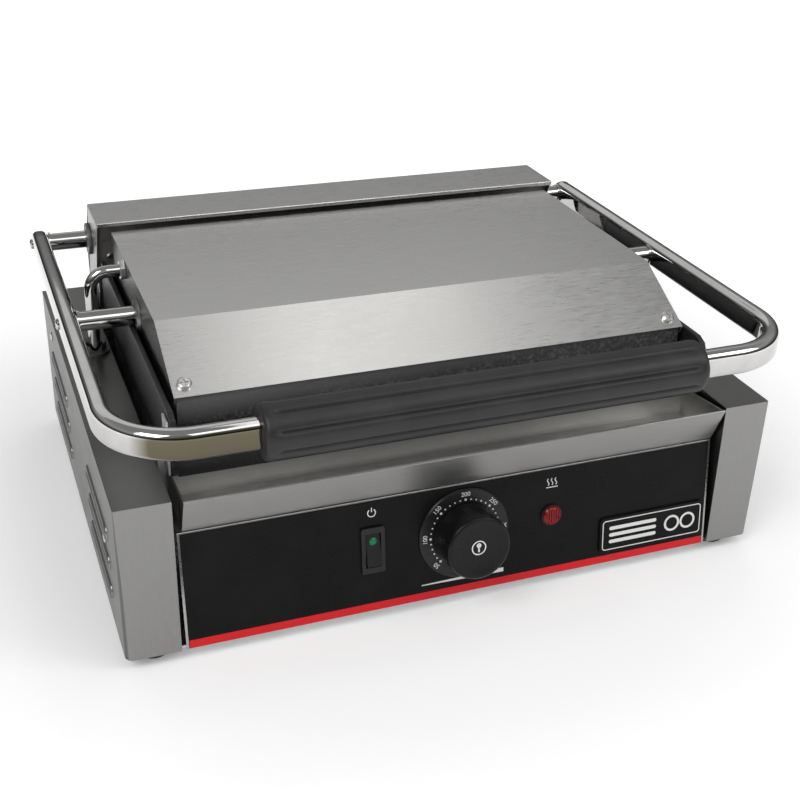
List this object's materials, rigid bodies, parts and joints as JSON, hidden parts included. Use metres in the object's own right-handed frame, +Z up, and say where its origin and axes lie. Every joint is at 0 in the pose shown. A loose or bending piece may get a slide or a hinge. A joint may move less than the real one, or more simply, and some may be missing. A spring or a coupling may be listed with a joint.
{
  "type": "panini press",
  "caption": "Commercial contact grill with ribbed cast plates, a floating lid on a bent bar handle, a leaning control panel with dial and switch, and a drip tray.",
  "frame": {"origin": "centre of the object's bounding box, on the surface it stands on", "axes": "+X to the right as the user faces it, +Y from the user to the back, +Z up"},
  "size_m": [0.4222, 0.3544, 0.176],
  "materials": {
    "brushed_steel": "brushed stainless sheet",
    "plain_steel": "plain sheet steel, inside",
    "chrome": "polished chrome plate",
    "cast_iron": "rough seasoned casting",
    "black_steel": "black enamel",
    "panel_film": "satin black printed film with a red stripe",
    "black_plastic": "moulded black plastic",
    "grip_black": "fluted heat-proof plastic",
    "red_lens": "ribbed red lens",
    "green_lens": "green lens",
    "rubber": "moulded rubber",
    "heater_sheath": "oxidised heater sheath",
    "insulation": "mineral wool board",
    "ivory_plastic": "ivory thermoset",
    "copper": "copper capillary"
  },
  "bodies": {
    "base": {"side_box_left": "brushed_steel", "side_box_right": "brushed_steel", "base_pan": "plain_steel", "rear_panel": "brushed_steel", "control_panel": "brushed_steel", "panel_overlay": "panel_film", "badge": "panel_film", "plate_frame": "plain_steel", "lower_plate": "cast_iron", "splash_guard": "black_steel", "lower_element": "heater_sheath", "lower_clamp": "plain_steel", "lower_insulation": "insulation", "clamp_nuts": "plain_steel", "thermostat": "ivory_plastic", "thermostat_bulb": "copper", "dial_bezel": "black_plastic", "switch_body": "black_plastic", "lamp_body": "black_plastic", "lamp_lens": "red_lens", "terminal_block": "ivory_plastic", "cable_gland": "black_plastic", "feet": "rubber", "foot_screws": "plain_steel", "side_screws": "plain_steel", "hinge_cover": "brushed_steel", "hinge_side_left": "brushed_steel", "hinge_side_right": "brushed_steel", "hinge_baffle": "black_steel", "baffle_screws": "plain_steel", "hinge_bushes": "plain_steel", "hinge_springs": "heater_sheath", "conduit_gland": "plain_steel"},
    "handle": {"handle_bar": "chrome", "grip": "grip_black", "hinge_shaft": "chrome", "lid_pins": "chrome", "arm_screws": "chrome"},
    "lid": {"lid_cover": "brushed_steel", "lid_bosses": "plain_steel", "upper_plate": "cast_iron", "upper_element": "heater_sheath", "upper_clamp": "plain_steel", "upper_insulation": "insulation", "lid_screws": "plain_steel", "conduit": "chrome", "conduit_nut": "plain_steel"},
    "knob": {"knob": "black_plastic", "spindle": "plain_steel"},
    "rocker": {"rocker": "black_plastic", "rocker_lens": "green_lens"},
    "drip_tray": {"drip_tray": "brushed_steel"}
  },
  "joints": [
    {"name": "handle_lift", "type": "hinge", "parent": "base", "child": "handle", "pos_m": [0, 0.14325, 0.1505], "axis": [-1, 0, 0], "range_deg": [0, 55]},
    {"name": "lid_float", "type": "hinge", "parent": "handle", "child": "lid", "pos_m": [0, 0.00325, 0.1505], "axis": [-1, 0, 0], "range_deg": [-6.6, 0]},
    {"name": "knob_turn", "type": "hinge", "parent": "base", "child": "knob", "pos_m": [0, -0.14413, 0.04943], "axis": [0, 0.9905, -0.1374], "range_deg": [0, 270]},
    {"name": "switch_rock", "type": "hinge", "parent": "base", "child": "rocker", "pos_m": [-0.058, -0.14066, 0.04895], "axis": [1, 0, 0], "range_deg": [0, 23]},
    {"name": "tray_slide", "type": "slide", "parent": "base", "child": "drip_tray", "axis": [0, -1, 0], "range_m": [0, 0.06]}
  ],
  "couplings": [
    {"joint": "lid_float", "follows": "handle_lift", "ratio": -0.12}
  ]
}
